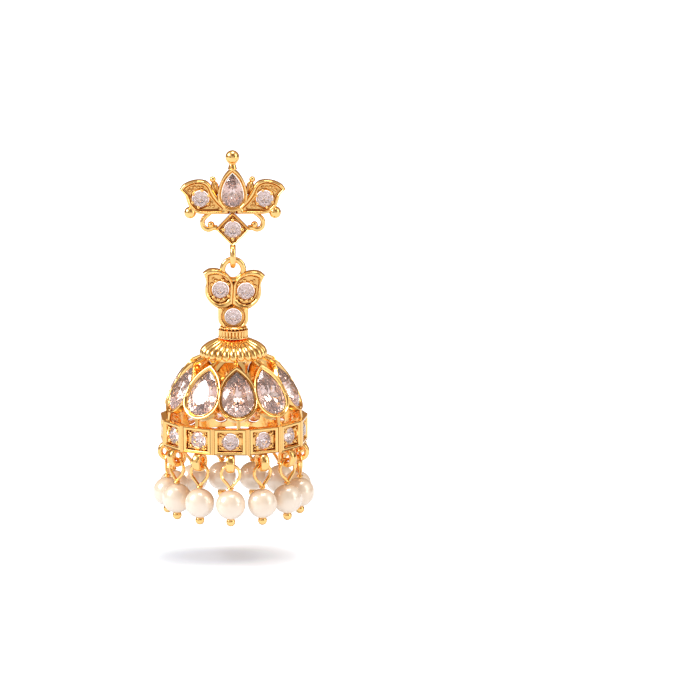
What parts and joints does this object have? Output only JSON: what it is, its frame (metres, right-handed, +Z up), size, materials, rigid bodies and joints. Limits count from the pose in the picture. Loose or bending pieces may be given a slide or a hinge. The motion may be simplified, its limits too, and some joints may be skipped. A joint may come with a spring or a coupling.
{
  "type": "jhumka earring",
  "caption": "Bell-shaped drop earring with stone-set bezels and a fringe of pearls, hanging by two linked rings from a lotus-shaped post stud.",
  "frame": {"origin": "centre of the stud's back, where it sits on the ear lobe", "axes": "+Z up along the hanging drop, -Y out of the face, +Y along the ear post, +X to the right as seen from the front"},
  "size_m": [0.0219, 0.0219, 0.0496],
  "materials": {
    "gold": "polished gold plating",
    "stone": "cut and polished",
    "pearl": "pearlescent gloss"
  },
  "bodies": {
    "stud": {"stud_frame": "gold", "ear_post": "gold", "stud_pear_stone": "stone", "stud_side_stone_left": "stone", "stud_side_stone_right": "stone", "stud_lower_stone": "stone"},
    "drop": {"connector": "gold", "connector_stone_left": "stone", "connector_stone_right": "stone", "connector_stone_base": "stone", "bell_cap": "gold", "bell": "gold", "band_stones": "stone", "pear_stone_01": "stone", "pear_stone_02": "stone", "pear_stone_03": "stone", "pear_stone_04": "stone", "pear_stone_05": "stone", "pear_stone_06": "stone", "pear_stone_07": "stone", "pear_stone_08": "stone", "pear_stone_09": "stone", "pear_stone_10": "stone", "eye_pin_01": "gold", "eye_pin_02": "gold", "eye_pin_03": "gold", "eye_pin_04": "gold", "eye_pin_05": "gold", "eye_pin_06": "gold", "eye_pin_07": "gold", "eye_pin_08": "gold", "eye_pin_09": "gold", "eye_pin_10": "gold", "eye_pin_11": "gold", "eye_pin_12": "gold", "eye_pin_13": "gold", "pearl_01": "pearl", "pearl_02": "pearl", "pearl_03": "pearl", "pearl_04": "pearl", "pearl_05": "pearl", "pearl_06": "pearl", "pearl_07": "pearl", "pearl_08": "pearl", "pearl_09": "pearl", "pearl_10": "pearl", "pearl_11": "pearl", "pearl_12": "pearl", "pearl_13": "pearl"}
  },
  "joints": [
    {"name": "drop_swing", "type": "hinge", "parent": "stud", "child": "drop", "pos_m": [0, -0.0009, -0.00945], "axis": [0, 1, 0], "range_deg": [-65, 65]}
  ]
}
